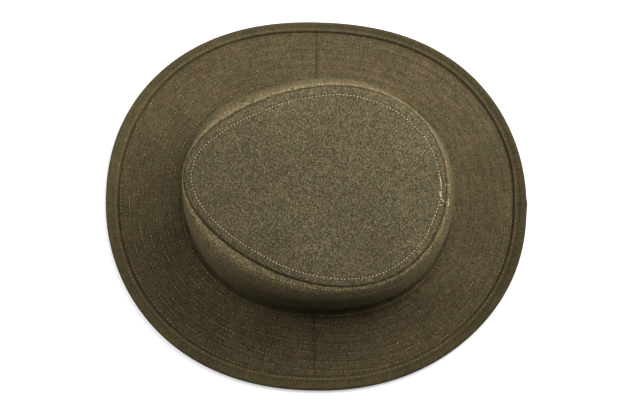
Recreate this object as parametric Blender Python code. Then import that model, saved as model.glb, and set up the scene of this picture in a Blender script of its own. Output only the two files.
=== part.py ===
# Cloth campaign hat: a flat-topped soft crown with a quilted round brim, at its real size.
# The front of the hat is -Y, its back is +Y, +Z is up and the brim's edge rests on z = 0.

import math

import bmesh
import bpy
import numpy as np

# Outline of the brim, seen from above
BRIM_HALF_LENGTH = 0.1584
BRIM_HALF_WIDTH = 0.1408
BRIM_EXPONENT = 2.15

# Oval where the crown meets the brim
HEAD_HALF_LENGTH = 0.0992
HEAD_HALF_WIDTH = 0.0834
HEAD_EXPONENT = 2.20
HEAD_SHIFT_X = 0.0006
HEAD_SHIFT_Y = 0.0024

# Egg-shaped seam round the top panel, narrow at the front, set in from the head oval
TIP_SET_IN_ENDS = 0.0065
TIP_SET_IN_SIDES = 0.0143
TIP_HALF_LENGTH = HEAD_HALF_LENGTH - TIP_SET_IN_ENDS
TIP_HALF_WIDTH = HEAD_HALF_WIDTH - TIP_SET_IN_SIDES
TIP_EXPONENT = 2.00
TIP_EGG = 0.215
TIP_TURN_DEG = 2.5
TIP_SHIFT_X = 0.0016
TIP_SHIFT_Y = -0.0009

# Heights
CROWN_HEIGHT = 0.0785
BRIM_RISE = 0.0077
TIP_DOME = 0.0018

# Cloth, as walls of doubled and stitched layers
TIP_CLOTH = 0.0018
SIDE_CLOTH = 0.0018
BRIM_CLOTH = 0.0020
BINDING_CLOTH = 0.0010
BINDING_WIDTH = 0.0094
SEAM_DEPTH = 0.0030
CLEARANCE = 0.0003

# The two side seams of the brim lie on one line through its centre
SIDE_SEAM_TURN_DEG = -2.1

COLUMNS = 76
FOLD_STEPS = 4
HALF_COLUMNS = COLUMNS // 2

# Heights of the binding, which holds the brim's edge between its two faces
RIM_HALF_HEIGHT = BRIM_CLOTH / 2 + CLEARANCE + BINDING_CLOTH
JOINT_HEIGHT = RIM_HALF_HEIGHT + BRIM_RISE
SEAM_HEIGHT = JOINT_HEIGHT + CROWN_HEIGHT

# Side band: height is a share of the crown's height, and spread runs from the
# head oval (1) to the seam of the top panel (0)
SIDE_ROWS = (
    {"height": 0.00, "spread": 1.000},
    {"height": 0.20, "spread": 0.930},
    {"height": 0.45, "spread": 0.815},
    {"height": 0.68, "spread": 0.650},
    {"height": 0.82, "spread": 0.510},
    {"height": 0.91, "spread": 0.350},
    {"height": 0.97, "spread": 0.180},
    {"height": 1.00, "spread": 0.000},
)

# Brim: out runs from the crown (0) to the binding (1), rise is a share of the brim's rise
BRIM_ROWS = (
    {"out": 0.00, "rise": 1.000},
    {"out": 0.20, "rise": 0.730},
    {"out": 0.42, "rise": 0.460},
    {"out": 0.64, "rise": 0.230},
    {"out": 0.84, "rise": 0.070},
    {"out": 1.00, "rise": 0.000},
)

# Top panel: size is a share of its outline, and dome a share of its doming
TIP_ROWS = (
    {"size": 1.00, "dome": 0.00},
    {"size": 0.97, "dome": 0.45},
    {"size": 0.93, "dome": 0.75},
    {"size": 0.84, "dome": 0.90},
    {"size": 0.60, "dome": 0.97},
    {"size": 0.25, "dome": 1.00},
)

MATERIALS = {
    "crown_tip": {"colour": (0.125, 0.105, 0.060), "roughness": 0.92},
    "crown_side": {"colour": (0.115, 0.095, 0.056), "roughness": 0.92},
    "brim_front": {"colour": (0.108, 0.086, 0.048), "roughness": 0.90},
    "brim_back": {"colour": (0.108, 0.086, 0.048), "roughness": 0.90},
    "brim_binding": {"colour": (0.100, 0.082, 0.047), "roughness": 0.90},
}


# Angles round the hat, from its back over +X, with the first column on a side seam
def column_angles():
    first = math.pi / 2 + math.radians(SIDE_SEAM_TURN_DEG)
    return first + np.arange(COLUMNS) * 2 * math.pi / COLUMNS


# One closed oval as an array of x and y, set in from its outline by a distance
def oval(half_length, half_width, exponent, inset=0.0, egg=0.0, turn_deg=0.0, shift=(0.0, 0.0)):
    angles = column_angles()
    cosine, sine = np.cos(angles), np.sin(angles)
    along = np.sign(cosine) * np.abs(cosine) ** (2 / exponent)
    across = np.sign(sine) * np.abs(sine) ** (2 / exponent) * (1 + egg * along)
    y = along * (half_length - inset)
    x = across * (half_width - inset)
    turn = math.radians(turn_deg)
    turned_x = x * math.cos(turn) + y * math.sin(turn)
    turned_y = y * math.cos(turn) - x * math.sin(turn)
    return np.stack([turned_x + shift[0], turned_y + shift[1]], axis=1)


def brim_oval(inset=0.0):
    return oval(BRIM_HALF_LENGTH, BRIM_HALF_WIDTH, BRIM_EXPONENT, inset)


def head_oval(inset=0.0):
    shift = (HEAD_SHIFT_X, HEAD_SHIFT_Y)
    return oval(HEAD_HALF_LENGTH, HEAD_HALF_WIDTH, HEAD_EXPONENT, inset, shift=shift)


def tip_oval(inset=0.0):
    shift = (TIP_SHIFT_X, TIP_SHIFT_Y)
    return oval(TIP_HALF_LENGTH, TIP_HALF_WIDTH, TIP_EXPONENT, inset, TIP_EGG, TIP_TURN_DEG, shift)


def at_height(plan, height):
    return np.column_stack([plan, np.full(len(plan), height)])


# Outward normals of a grid of rows and columns that closes on itself along each row
def grid_normals(rows):
    along = np.roll(rows, -1, axis=1) - np.roll(rows, 1, axis=1)
    across = np.gradient(rows, axis=0)
    normals = np.cross(across, along)
    return normals / np.linalg.norm(normals, axis=2, keepdims=True)


# Closes a wall of cloth between its outer and inner rows; an open strip gets end faces too
def cloth_wall(name, outer, inner, ring=True, capped=False):
    mesh_builder = bmesh.new()
    outer_verts = [[mesh_builder.verts.new(point) for point in row] for row in outer]
    inner_verts = [[mesh_builder.verts.new(point) for point in row] for row in inner]
    row_count, column_count = len(outer_verts), len(outer_verts[0])
    spans = column_count if ring else column_count - 1

    def quad_strip(first_row, second_row):
        for column in range(spans):
            after = (column + 1) % column_count
            mesh_builder.faces.new((first_row[column], first_row[after],
                                    second_row[after], second_row[column]))

    for row in range(row_count - 1):
        quad_strip(outer_verts[row], outer_verts[row + 1])
        quad_strip(inner_verts[row + 1], inner_verts[row])
    quad_strip(inner_verts[0], outer_verts[0])
    if capped:
        mesh_builder.faces.new(outer_verts[-1])
        mesh_builder.faces.new(reversed(inner_verts[-1]))
    else:
        quad_strip(outer_verts[-1], inner_verts[-1])
    if not ring:
        for row in range(row_count - 1):
            for column in (0, column_count - 1):
                mesh_builder.faces.new((outer_verts[row][column], outer_verts[row + 1][column],
                                        inner_verts[row + 1][column], inner_verts[row][column]))
    bmesh.ops.recalc_face_normals(mesh_builder, faces=mesh_builder.faces)
    return finish_piece(name, mesh_builder)


def finish_piece(name, mesh_builder):
    mesh = bpy.data.meshes.new(name)
    mesh_builder.to_mesh(mesh)
    mesh_builder.free()
    mesh.shade_smooth()
    mesh.set_sharp_from_angle(angle=math.radians(40))
    piece = bpy.data.objects.new(name, mesh)
    mesh.materials.append(cloth_material(name))
    hat_collection().objects.link(piece)
    return piece


def cloth_material(name):
    look = MATERIALS[name]
    material = bpy.data.materials.new(name + "_cloth")
    material.use_nodes = True
    shader = material.node_tree.nodes["Principled BSDF"]
    shader.inputs["Base Color"].default_value = (*look["colour"], 1.0)
    shader.inputs["Roughness"].default_value = look["roughness"]
    shader.inputs["Metallic"].default_value = 0.0
    return material


def hat_collection():
    collection = bpy.data.collections.get("cloth_campaign_hat")
    if collection is None:
        collection = bpy.data.collections.new("cloth_campaign_hat")
        bpy.context.scene.collection.children.link(collection)
    return collection


# Top panel: a slightly domed sheet whose edge stands upright against the side band
def make_crown_tip():
    outline = tip_oval(CLEARANCE / 2)
    centre = np.array([TIP_SHIFT_X, TIP_SHIFT_Y])
    upper = [at_height(centre + (outline - centre) * row["size"], SEAM_HEIGHT + TIP_DOME * row["dome"])
             for row in TIP_ROWS]
    upper = np.array(upper)
    lower = upper - np.array([0.0, 0.0, TIP_CLOTH])
    return cloth_wall("crown_tip", upper, lower, capped=True)


# Side band: upright above the brim, rounding over at the shoulder to the top panel's seam
def make_crown_side():
    foot = head_oval()
    seam = tip_oval(-CLEARANCE / 2)
    outer = [at_height(foot, JOINT_HEIGHT - BRIM_CLOTH / 2 - CLEARANCE)]
    for row in SIDE_ROWS:
        plan = seam + (foot - seam) * row["spread"]
        outer.append(at_height(plan, JOINT_HEIGHT + CROWN_HEIGHT * row["height"]))
    outer = np.array(outer)
    inner = outer - SIDE_CLOTH * grid_normals(outer)
    inner[0] = at_height(head_oval(SIDE_CLOTH), outer[0][0][2])
    inner[-1] = outer[-1] - np.array([0.0, 0.0, SEAM_DEPTH])
    return cloth_wall("crown_side", outer, inner)


# Middle surface of the whole brim, from the crown's foot to inside the binding's fold
def brim_surface():
    first_drop = BRIM_RISE * (BRIM_ROWS[0]["rise"] - BRIM_ROWS[1]["rise"])
    first_run = (BRIM_HALF_WIDTH - BINDING_WIDTH - HEAD_HALF_WIDTH) * BRIM_ROWS[1]["out"]
    edge_lean = BRIM_CLOTH / 2 * first_drop / math.hypot(first_run, first_drop)
    inner_edge = head_oval(-CLEARANCE - edge_lean)
    binding_edge = brim_oval(BINDING_WIDTH + CLEARANCE)
    rows = []
    for row in BRIM_ROWS:
        plan = inner_edge + (binding_edge - inner_edge) * row["out"]
        rows.append(at_height(plan, RIM_HALF_HEIGHT + BRIM_RISE * row["rise"]))
    rows.append(at_height(brim_oval(RIM_HALF_HEIGHT), RIM_HALF_HEIGHT))
    return np.array(rows)


# Half of the brim between the two side seams, which stay open by the clearance
def make_brim_half(name, first_column):
    rows = brim_surface()
    offsets = BRIM_CLOTH / 2 * grid_normals(rows)
    columns = [(first_column + step) % COLUMNS for step in range(HALF_COLUMNS + 1)]
    middle = rows[:, columns].copy()
    for end, neighbour in ((0, 1), (-1, -2)):
        inwards = middle[:, neighbour] - middle[:, end]
        inwards /= np.linalg.norm(inwards, axis=1, keepdims=True)
        middle[:, end] += inwards * CLEARANCE / 2
    return cloth_wall(name, middle + offsets[:, columns], middle - offsets[:, columns], ring=False)


# Binding: a folded strip round the brim's edge, flat below where the hat rests
def make_brim_binding():
    def fold_rows(radius):
        profile = [(BINDING_WIDTH, radius)]
        for step in range(FOLD_STEPS + 1):
            angle = math.pi / 2 - math.pi * step / FOLD_STEPS
            profile.append((RIM_HALF_HEIGHT - radius * math.cos(angle), radius * math.sin(angle)))
        profile.append((BINDING_WIDTH, -radius))
        return np.array([at_height(brim_oval(inset), RIM_HALF_HEIGHT + rise) for inset, rise in profile])

    return cloth_wall("brim_binding", fold_rows(RIM_HALF_HEIGHT), fold_rows(RIM_HALF_HEIGHT - BINDING_CLOTH))


def make_hat():
    for old_object in list(bpy.data.objects):
        bpy.data.objects.remove(old_object, do_unlink=True)
    make_crown_tip()
    make_crown_side()
    make_brim_half("brim_back", HALF_COLUMNS)
    make_brim_half("brim_front", 0)
    make_brim_binding()


make_hat()
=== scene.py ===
import math

import bmesh
import bpy
import numpy as np
from mathutils import Matrix, Vector


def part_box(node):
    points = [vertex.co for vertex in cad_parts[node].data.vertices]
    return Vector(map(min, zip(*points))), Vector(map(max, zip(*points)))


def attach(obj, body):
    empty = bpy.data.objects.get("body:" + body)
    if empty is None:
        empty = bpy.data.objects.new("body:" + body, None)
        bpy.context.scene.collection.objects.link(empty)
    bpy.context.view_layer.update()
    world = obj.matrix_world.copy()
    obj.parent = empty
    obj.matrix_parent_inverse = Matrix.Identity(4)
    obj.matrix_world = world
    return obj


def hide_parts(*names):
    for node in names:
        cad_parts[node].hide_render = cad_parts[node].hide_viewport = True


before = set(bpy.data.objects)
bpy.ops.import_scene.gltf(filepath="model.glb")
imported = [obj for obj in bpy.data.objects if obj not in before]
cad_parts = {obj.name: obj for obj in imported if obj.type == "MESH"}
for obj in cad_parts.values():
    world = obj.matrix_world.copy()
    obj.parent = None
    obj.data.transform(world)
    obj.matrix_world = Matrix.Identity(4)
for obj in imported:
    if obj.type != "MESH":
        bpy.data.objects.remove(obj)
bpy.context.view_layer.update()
scene = bpy.context.scene
mm = 0.001
print("frame loaded")

# Camera: straight over the wearer's left side, leaning a little, with the back of the hat to the right
cameraLook = {
    "target": (0.00482, -0.00221, 0.0),
    "distance": 1.150,
    "elevationDeg": 80.5,
    "headingDeg": 90.0,
    "rollDeg": 2.213,
    "lens": 87.64,
    "nearest": 0.01,
}


def addObject(name, data):
    thing = bpy.data.objects.new(name, data)
    scene.collection.objects.link(thing)
    return thing


def addCamera(look):
    camera = addObject("hatCamera", bpy.data.cameras.new("hatCamera"))
    heading = Matrix.Rotation(math.radians(look["headingDeg"]), 4, "Z")
    tilt = Matrix.Rotation(math.radians(90 - look["elevationDeg"]), 4, "X")
    roll = Matrix.Rotation(math.radians(look["rollDeg"]), 4, "Z")
    turned = heading @ tilt @ roll
    away = turned @ Vector((0, 0, look["distance"]))
    camera.matrix_world = Matrix.Translation(Vector(look["target"]) + away) @ turned
    camera.data.lens = look["lens"]
    camera.data.clip_start = look["nearest"]
    scene.camera = camera


addCamera(cameraLook)

# Sizes that everything else follows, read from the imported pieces
edgeLow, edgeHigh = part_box("brim_binding")
footLow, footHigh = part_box("crown_side")
tipLow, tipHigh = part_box("crown_tip")

hat = {
    "rimHalf": (edgeHigh.z - edgeLow.z) / 2,
    "brimCloth": 2.0 * mm,
    "bindingCloth": 1.0 * mm,
    "bindingWidth": 9.4 * mm,
    "sideCloth": 1.8 * mm,
    "tipCloth": 1.8 * mm,
    "tipDome": 1.8 * mm,
    "gap": 0.3 * mm,
    "tuckUnder": 1.4 * mm,
    "mergeWithin": 0.001 * mm,
}
hat["footHeight"] = footLow.z + hat["brimCloth"] / 2 + hat["gap"]
hat["seamHeight"] = tipHigh.z - hat["tipDome"]


def ovalShape(low, high, exponent, egg=0.0, leanDeg=0.0, grow=0.0):
    swell = np.linspace(0, math.pi, 721)
    widest = (np.sin(swell) * (1 + egg * np.cos(swell))).max()
    return {
        "halfLength": (high.y - low.y) / 2 + grow,
        "halfWidth": ((high.x - low.x) / 2 + grow) / widest,
        "centre": ((high.x + low.x) / 2, (high.y + low.y) / 2),
        "exponent": exponent, "egg": egg, "leanDeg": leanDeg,
    }


# How far the real edge lies outside the even oval: waves round the hat, reach in mm, phase in degrees
edgeWander = [(0, 0.62, 0), (1, 0.51, 17), (3, 0.78, -70), (4, 0.37, 86), (5, 0.22, 71), (6, 0.23, 30)]

# How far the seam of the top panel lies outside the panel's oval, in the same columns
seamWander = [(0, 0.55, 0), (1, 0.25, 270), (2, 0.50, 180)]

# Side seams of the brim: their turns at the edge and at the crown, in degrees
sideSeams = [("left", 88.7, 90.0), ("right", 268.8, 268.0)]

# Width of the folded strip round the edge: turn in degrees, width in mm
bindingWidths = [(0, 10.5), (20, 10.1), (40, 9.6), (60, 9.5), (75, 10.0), (95, 10.2), (115, 10.0), (150, 9.5),
                 (180, 10.0), (200, 9.9), (225, 8.7), (250, 8.3), (290, 8.6), (315, 9.0), (345, 8.8), (360, 10.5)]

brimOval = {**ovalShape(edgeLow, edgeHigh, 2.15), "wander": edgeWander}
footOval = ovalShape(footLow, footHigh, 2.20)
tipOval = {**ovalShape(tipLow, tipHigh, 2.00, egg=0.215, leanDeg=2.5, grow=hat["gap"] / 2), "wander": seamWander}


def wanderAt(turn, rows):
    return sum(reach * mm * np.cos(waves * turn - math.radians(phaseDeg)) for waves, reach, phaseDeg in rows)


# x and y round an oval, from the back of the hat over its left side, set in by a distance
def ovalPlan(turn, shape, inset=0.0):
    inset = inset - wanderAt(turn, shape.get("wander", []))
    cosine, sine = np.cos(turn), np.sin(turn)
    along = np.sign(cosine) * np.abs(cosine) ** (2 / shape["exponent"])
    across = np.sign(sine) * np.abs(sine) ** (2 / shape["exponent"])
    y = along * (shape["halfLength"] - inset)
    x = across * (shape["halfWidth"] - inset) + across * along * shape["egg"] * shape["halfWidth"]
    lean = math.radians(shape["leanDeg"])
    centreX, centreY = shape["centre"]
    return np.stack([x * math.cos(lean) + y * math.sin(lean) + centreX,
                     y * math.cos(lean) - x * math.sin(lean) + centreY], axis=-1)


def withHeight(plan, height):
    return np.concatenate([plan, np.broadcast_to(height, plan.shape[:-1])[..., None]], axis=-1)


def bell(distance, width):
    return np.exp(-(distance / width) ** 2)


def easeStep(value, start, end):
    share = np.clip((value - start) / (end - start), 0, 1)
    return share * share * (3 - 2 * share)


# The shortest way from 0 to a turn, either way round
def wrapped(turn):
    return np.mod(turn + math.pi, 2 * math.pi) - math.pi


def turnsRound(count):
    return np.linspace(0, 2 * math.pi, count, endpoint=False)


# The value at a turn, from rows of a turn in degrees and its value
def byTurn(turn, rows, stepDeg=0):
    table = np.array(rows)
    return np.interp(np.mod(np.degrees(turn) + stepDeg, 360), table[:, 0], table[:, 1])


def bindingEdge(turn):
    return sum(byTurn(turn, bindingWidths, stepDeg) for stepDeg in (-5, 0, 5)) / 3 * mm


# A gentle seeded wave field over a turn and a second direction. In the tables below, the name waves stands for
# its seed, the fewest and most waves round the hat, how much they slant and, where it isn't 7, how many are added
def waveField(turn, other, seed, cycles, spread, count=7):
    chance = np.random.default_rng(seed)
    total = np.zeros(np.broadcast(turn, other).shape)
    for wave in range(count):
        around = chance.integers(cycles[0], cycles[1] + 1)
        inward = chance.uniform(-spread, spread)
        total = total + np.sin(around * turn + inward * other + chance.uniform(0, 2 * math.pi))
    return total / math.sqrt(count)


# Crown wall, from its foot (0) to the seam of the top panel (1): height, spread, and spread on the fuller left side;
# shoulder holds how much of that spread is kept near the seam, by turn in degrees
wallShape = {
    "rows": [(0.00, 1.00, 1.00), (0.20, 0.94, 0.95), (0.45, 0.84, 0.87), (0.68, 0.70, 0.79), (0.82, 0.56, 0.73),
             (0.91, 0.38, 0.66), (0.96, 0.22, 0.48), (0.985, 0.11, 0.25), (1.00, 0.00, 0.00)],
    "shoulder": [(0, 1.25), (10, 1.10), (30, 1.0), (140, 1.05), (165, 0.90), (185, 0.62), (196, 0.85),
                 (206, 1.20), (222, 1.25), (234, 1.05), (256, 0.95), (266, 1.10), (285, 1.28), (291, 1.10),
                 (300, 0.84), (307, 0.68), (316, 0.70), (326, 0.90), (334, 0.95), (347, 1.05), (360, 1.25)],
    "shoulderFull": 0.7,
    "seamDip": 0.75 * mm, "seamDipWidth": 0.75 * mm, "stitchDrop": 3.5 * mm,
    "ridgeLift": 0.12 * mm, "ridgeAt": 2.2 * mm, "ridgeWidth": 1.5 * mm,
    "sag": 0.55 * mm, "sagStart": (4 * mm, 22 * mm), "sagLength": 40 * mm, "sagWaves": (11, (3, 9), 2.0),
    "wrinkle": 0.09 * mm, "wrinkleLength": 6 * mm, "wrinkleWaves": (12, (30, 90), 1.5),
    "backSeamDeg": -2.5, "backSeamDip": 0.4 * mm, "backSeamWidth": 0.9 * mm, "backSeamStart": (1 * mm, 6 * mm),
    "backRadius": 95 * mm, "foldIn": 3.0 * mm,
    "columns": 420, "rowsUp": 74, "shoulderRows": 22, "shoulderDrop": 9 * mm,
}

# Painted shading on the wall, by distance down from the seam of the top panel: painted shade down the lower wall on
# the wearer's left and at its foot (above 0), painted highlight on the shoulder and flanks, a lighter ridge and a
# lighter band under the seam at the front (below 0)
wallShadePaint = {
    "foot": 0.95, "footStart": (12 * mm, 38 * mm), "footPower": 6, "base": 0.3, "baseWidth": 4 * mm,
    "ridge": -0.2, "ridgeWidth": 1.6 * mm, "shoulderHighlight": -0.34, "shoulderHighlightAt": 4.5 * mm, "shoulderHighlightWidth": 4.0 * mm, "leftPower": 4,
    "flank": -0.62, "flankStart": (4 * mm, 14 * mm), "flankBack": 0.45,
    "front": -0.40, "frontAt": 3 * mm, "frontWidth": 3 * mm, "frontPower": 8,
}

# Painted shade along the seam groove of the top panel: a dark, frayed line on both sides of the seam
seamLine = {"paintedShading": 0.85, "width": 0.9 * mm, "fray": 0.35, "frayLength": 2 * mm, "frayWaves": (13, (40, 160), 1.0, 9)}


def cutCorners(points, rounds=3):
    for _ in range(rounds):
        first, second = points[:-1], points[1:]
        middle = np.stack([first * 0.75 + second * 0.25, first * 0.25 + second * 0.75], axis=1).reshape(-1, 3)
        points = np.concatenate([points[:1], middle, points[-1:]])
    return points


wallCurve = cutCorners(np.array(wallShape["rows"]))


# 1 on the wearer's left side, 0 on the right side
def leftward(turn):
    return np.clip(0.2 + 0.9 * np.sin(turn), 0, 1)


def wallBase(turn, share):
    height, even, full = [np.interp(share, np.linspace(0, 1, len(wallCurve)), column) for column in wallCurve.T]
    spread = even + (full - even) * leftward(turn)
    keep = byTurn(turn, wallShape["shoulder"]) - 1
    spread = spread * (1 + keep * np.clip(height / wallShape["shoulderFull"], 0, 1) ** 2)
    seam = ovalPlan(turn, tipOval)
    foot = ovalPlan(turn, footOval)
    plan = seam + (foot - seam) * spread[..., None]
    return withHeight(plan, hat["footHeight"] + (hat["seamHeight"] - hat["footHeight"]) * height)


# Distance down the wall from the seam for each share, measured at one side of the hat
wallShares = np.linspace(0, 1, 400)
wallLine = wallBase(np.full(400, math.pi / 2), wallShares)
wallSteps = np.linalg.norm(np.diff(wallLine, axis=0), axis=1)
wallDrop = np.concatenate([np.cumsum(wallSteps[::-1])[::-1], [0.0]])


def wallShareAt(drop):
    return np.interp(drop, wallDrop[::-1], wallShares[::-1])


def wallLift(turn, drop):
    look = wallShape
    lift = -look["seamDip"] * bell(drop, look["seamDipWidth"])
    lift = lift + look["ridgeLift"] * bell(drop - look["ridgeAt"], look["ridgeWidth"])
    ramp = easeStep(drop, *look["sagStart"])
    lift = lift + look["sag"] * ramp * waveField(turn, drop / look["sagLength"], *look["sagWaves"])
    lift = lift + look["wrinkle"] * waveField(turn, drop / look["wrinkleLength"], *look["wrinkleWaves"])
    fromSeam = np.abs(wrapped(turn - math.radians(look["backSeamDeg"]))) * look["backRadius"]
    crease = bell(fromSeam, look["backSeamWidth"]) * easeStep(drop, *look["backSeamStart"])
    return lift - look["backSeamDip"] * crease


# Painted shade in the seam groove, uneven along its length
def paintSeamShade(turn, distance):
    look = seamLine
    frayed = 1 + look["fray"] * waveField(turn, distance / look["frayLength"], *look["frayWaves"])
    return look["paintedShading"] * bell(distance, look["width"]) * frayed


# Top panel, by distance in from its seam; past the rim width it shrinks towards its middle
tipShape = {
    "rimWidth": 14 * mm,
    "dome": [(0, 0), (1.2, 0.30), (2.8, 0.50), (6.5, 0.75), (15, 0.90), (40, 0.97), (70, 1.0)],
    "seamDip": 0.70 * mm, "seamDipWidth": 0.70 * mm,
    "ridgeLift": 0.10 * mm, "ridgeAt": 3.0 * mm, "ridgeWidth": 1.6 * mm,
    "stitchRow": [(0, 3.9), (2.4, 3.9), (4.1, 4.5), (8, 5.2), (14, 5.9), (18, 6.0), (25, 5.2), (33, 5.6), (45, 5.5),
                  (58, 4.8), (70, 5.1), (104, 5.2), (112, 6.0), (186, 6.15), (195, 5.4), (203, 5.7), (212, 6.6),
                  (240, 6.8), (252, 6.3), (268, 6.0), (277, 5.5), (286, 5.7), (294, 6.8), (321, 6.9), (330, 5.8),
                  (339, 5.6), (348, 4.9), (354, 4.8), (358, 3.9), (360, 3.9)],
    # Painted shade along the stitch row's dip
    "stitchDip": 0.22 * mm, "stitchDipWidth": 0.8 * mm, "stitchShade": 0.3, "stitchShadeWidth": 0.9 * mm,
    "sag": 0.18 * mm, "sagStart": (3 * mm, 20 * mm), "sagMiddle": 25 * mm,
    "ripples": [(0.5, 62, -47, 0.7), (-0.5, 62, 47, 1.5), (0.6, 121, -78, 2.0 - math.pi / 2)],
    "wrinkle": 0.05 * mm, "wrinkleEnd": (8 * mm, 16 * mm),
    "wrinkleLength": 5 * mm, "wrinkleWaves": (21, (60, 140), 1.5),
    "columns": 400, "rimRows": 30, "middleRows": 26,
}


# Inset of the row of stitches round the panel; its table holds turns in degrees and mm from the even oval
def tipRow(turn):
    return byTurn(turn, tipShape["stitchRow"]) * mm + wanderAt(turn, seamWander)


def tipBase(turn, inset):
    rim = np.minimum(inset, tipShape["rimWidth"])
    plan = ovalPlan(turn, tipOval, rim)
    centre = np.array(tipOval["centre"])
    inner = tipOval["halfWidth"] - tipShape["rimWidth"]
    shrink = 1 - np.clip((inset - tipShape["rimWidth"]) / inner, 0, 1)
    plan = centre + (plan - centre) * shrink[..., None]
    steps = np.array(tipShape["dome"])
    rise = np.interp(inset, steps[:, 0] * mm, steps[:, 1])
    return withHeight(plan, hat["seamHeight"] + hat["tipDome"] * rise)


def tipLift(turn, inset):
    look = tipShape
    lift = -look["seamDip"] * bell(inset, look["seamDipWidth"])
    lift = lift + look["ridgeLift"] * bell(inset - look["ridgeAt"], look["ridgeWidth"])
    lift = lift - look["stitchDip"] * bell(inset - tipRow(turn), look["stitchDipWidth"])
    middle = easeStep(tipOval["halfWidth"] - inset, 0, look["sagMiddle"])
    rim = 1 - easeStep(inset, *look["wrinkleEnd"])
    lift = lift + look["wrinkle"] * rim * waveField(turn, inset / look["wrinkleLength"], *look["wrinkleWaves"])
    return lift + look["sag"] * middle * easeStep(inset, *look["sagStart"]) * tipRipple(tipBase(turn, inset))


# Slow ripples over the middle: the share of each, its waves for each metre in x and in y, and its phase
def tipRipple(points):
    x, y = points[..., 0], points[..., 1]
    return sum(share * np.cos(x * inX + y * inY + phase) for share, inX, inY, phase in tipShape["ripples"])


def tipTop(turn, inset):
    base = tipBase(turn, inset)
    base[..., 2] += tipLift(turn, inset)
    return base


# Brim, by distance in from its edge
brimShape = {
    "risePower": 1.46,
    "firstRow": 11.4 * mm,
    "pitch": 6.66 * mm, "farPitchLess": 0.42 * mm, "farDeg": 262,
    "stepFromDeg": 62, "stepToDeg": 116, "startDeg": 93, "turns": 7.02,
    "groove": 0.26 * mm, "grooveWidth": 0.90 * mm, "puff": 0.16 * mm,
    "pucker": 0.085 * mm, "underShare": 0.5,
    "wave": 0.45 * mm, "waveStart": (6 * mm, 20 * mm), "waveEnd": 14 * mm, "waveLength": 30 * mm,
    "waves": (33, (4, 11), 1.4),
    "baseRow": 4.4 * mm, "baseMargin": 2.5 * mm,
    "seamGroove": 0.22 * mm, "seamGrooveWidth": 0.9 * mm, "seamStart": (7 * mm, 10 * mm), "seamRadius": 120 * mm,
    "columns": 330, "topRows": 96, "underRows": 60, "edgeRows": 8, "edgeShare": 0.12,
}

# Puckers between the rows: their share, how often they change from row to row, and their waves
brimPuckers = [(1.0, 2.2, (31, (110, 230), 2.4, 9)), (0.9, 1.1, (32, (50, 110), 1.6))]

# Half the gap between the halves of the brim, in radians: 0.004 mm where the seams are 110 mm out
seamGap = 0.004 / 110

# Painted shade in the row and seam grooves, beside the binding's inner edge and round the crown's foot, most on the
# wearer's left and at the front (above 0), and lighter cloth between the rows
brimShadePaint = {
    "row": 0.26, "rowWidth": 0.9 * mm, "puff": -0.10, "seam": 0.26, "seamWidth": 0.8 * mm,
    "edge": 0.48, "edgeWidth": 0.8 * mm, "foot": 0.95, "footWidth": 5.0 * mm, "footEven": 0.2,
    "front": 0.40, "frontWidth": 14.0 * mm,
}


def brimEdges(turn):
    inner = ovalPlan(turn, footOval, hat["tuckUnder"])
    outer = ovalPlan(turn, brimOval, hat["bindingWidth"] + hat["gap"])
    return inner, outer, np.linalg.norm(outer - inner, axis=-1)


def brimBase(turn, inset):
    inner, outer, width = brimEdges(turn)
    bound = hat["bindingWidth"] + hat["gap"]
    inside = np.clip(1 - (inset - bound) / width, 0, 1)
    plan = inner + (outer - inner) * inside[..., None]
    edge = ovalPlan(turn, brimOval, np.maximum(inset, hat["rimHalf"]))
    plan = np.where((inset < bound)[..., None], edge, plan)
    rise = (1 - inside) ** brimShape["risePower"]
    crownRise = hat["footHeight"] - hat["rimHalf"]
    return withHeight(plan, hat["rimHalf"] + crownRise * rise)


# Inset at which the brim ends under the crown
def crownInset(turn):
    _, _, width = brimEdges(turn)
    return width + hat["bindingWidth"]


# How far out a point lies, from the crown (0) to the binding (1)
def brimOutward(turn, inset):
    _, _, width = brimEdges(turn)
    return np.clip(1 - (inset - hat["bindingWidth"] - hat["gap"]) / width, 0, 1)


def seamTurn(edgeDeg, crownDeg, outward):
    return np.radians(crownDeg + (edgeDeg - crownDeg) * outward)


# Distance along the brim from the nearer side seam
def seamAway(turn, inset):
    outward = brimOutward(turn, inset)
    away = [np.abs(wrapped(turn - seamTurn(edge, crown, outward))) for _, edge, crown in sideSeams]
    return np.minimum(*away) * brimShape["seamRadius"]


def rowPitch(turn):
    far = np.maximum(0, np.cos(turn - math.radians(brimShape["farDeg"])))
    return brimShape["pitch"] - brimShape["farPitchLess"] * far ** 2


def rowStep(turn):
    degrees = np.degrees(np.mod(turn, 2 * math.pi))
    return easeStep(degrees, brimShape["stepFromDeg"], brimShape["stepToDeg"])


# How many pitches a point lies in from the first row; whole numbers are rows of stitches
def rowNumber(turn, inset):
    return (inset - brimShape["firstRow"]) / rowPitch(turn) - rowStep(turn)


def rowAway(turn, number):
    return np.abs(number - np.round(number)) * rowPitch(turn)


def brimLift(turn, inset):
    look = brimShape
    number = rowNumber(turn, inset)
    away = rowAway(turn, number)
    started = easeStep(inset, bindingEdge(turn), look["firstRow"])
    fromBase = crownInset(turn) - inset
    quilt = -look["groove"] * bell(away, look["grooveWidth"]) + look["puff"] * np.sin(math.pi * number) ** 2
    quilt = quilt - look["groove"] * bell(fromBase - look["baseRow"], look["grooveWidth"])
    puckers = sum(share * waveField(turn, number * often, *waves) for share, often, waves in brimPuckers)
    lift = started * (quilt + look["pucker"] * puckers)
    swell = easeStep(inset, *look["waveStart"]) * easeStep(fromBase, 0, look["waveEnd"])
    lift = lift + look["wave"] * swell * waveField(turn, inset / look["waveLength"], *look["waves"])
    groove = look["seamGroove"] * bell(seamAway(turn, inset), look["seamGrooveWidth"])
    return lift - groove * easeStep(inset, *look["seamStart"])


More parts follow.
